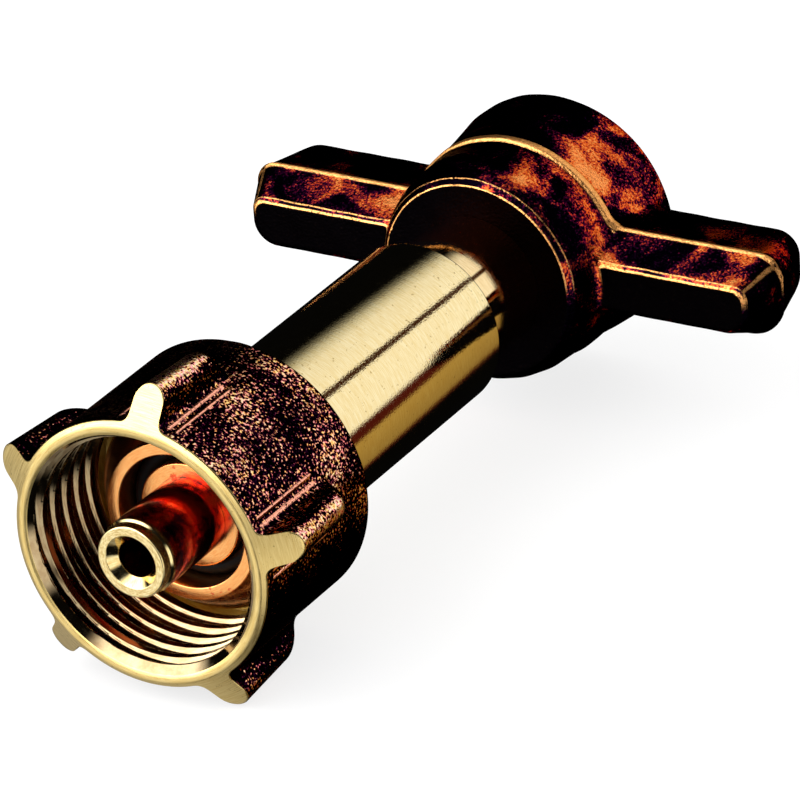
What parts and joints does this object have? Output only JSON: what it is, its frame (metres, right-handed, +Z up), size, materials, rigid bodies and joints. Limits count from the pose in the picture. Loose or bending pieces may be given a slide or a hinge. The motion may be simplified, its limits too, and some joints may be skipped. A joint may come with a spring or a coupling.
{
  "type": "gas valve",
  "caption": "Hand-operated brass gas valve: a lugged coupling nut screws to the supply, and a T-handle on a hollow rising spindle shuts it and carries the threaded outlet.",
  "frame": {"origin": "centre of the coupling nut's mouth, on the valve's axis", "axes": "+Y along the valve's axis from the nut's mouth to the handle, +X along one wing of the handle, +Z up"},
  "size_m": [0.0534, 0.0732, 0.0282],
  "materials": {
    "turned_brass": "satin turned",
    "base_brass": "satin turned, warmer",
    "nozzle_brass": "bright turned",
    "spindle_brass": "polished turned",
    "forged_brass": "dark oxidised forging skin",
    "sintered_bronze": "matt sintered",
    "black_rubber": "matt",
    "white_packing": "matt",
    "red_fibre": "matt fibre",
    "spring_steel": "bright",
    "dark_steel": "black oxide"
  },
  "bodies": {
    "valve_body": {"barrel": "turned_brass", "inlet_tailpiece": "base_brass", "inlet_nozzle": "nozzle_brass", "face_seal": "black_rubber", "tailpiece_seal": "black_rubber", "inlet_filter": "sintered_bronze", "filter_clip": "spring_steel", "gland_washer": "turned_brass", "gland_packing": "white_packing", "gland_bush": "turned_brass", "spindle_wiper": "black_rubber"},
    "slip_washer": {"slip_washer": "turned_brass"},
    "coupling_nut": {"coupling_nut": "forged_brass"},
    "disc_holder": {"disc_holder": "turned_brass", "seat_disc": "black_rubber", "disc_washer": "spring_steel", "disc_screw": "spring_steel", "swivel_clip": "spring_steel"},
    "spindle": {"spindle": "spindle_brass", "spindle_seals": "black_rubber", "t_handle": "forged_brass", "hub_seal": "black_rubber", "handle_grub_screw": "dark_steel", "outlet_washer": "red_fibre"}
  },
  "joints": [
    {"name": "nut_slide", "type": "slide", "parent": "valve_body", "child": "slip_washer", "axis": [0, 1, 0], "range_m": [0, 0.028]},
    {"name": "nut_spin", "type": "hinge", "parent": "slip_washer", "child": "coupling_nut", "pos_m": [0, 0.0118, 0], "axis": [0, 1, 0], "continuous": true},
    {"name": "disc_slide", "type": "slide", "parent": "valve_body", "child": "disc_holder", "axis": [0, 1, 0], "range_m": [-0.004, 0]},
    {"name": "handle_turn", "type": "hinge", "parent": "disc_holder", "child": "spindle", "pos_m": [0, 0.0227, 0], "axis": [0, 1, 0], "range_deg": [-720, 0]}
  ],
  "couplings": [
    {"joint": "handle_turn", "follows": "disc_slide", "rad_per_m": 3141.6}
  ]
}
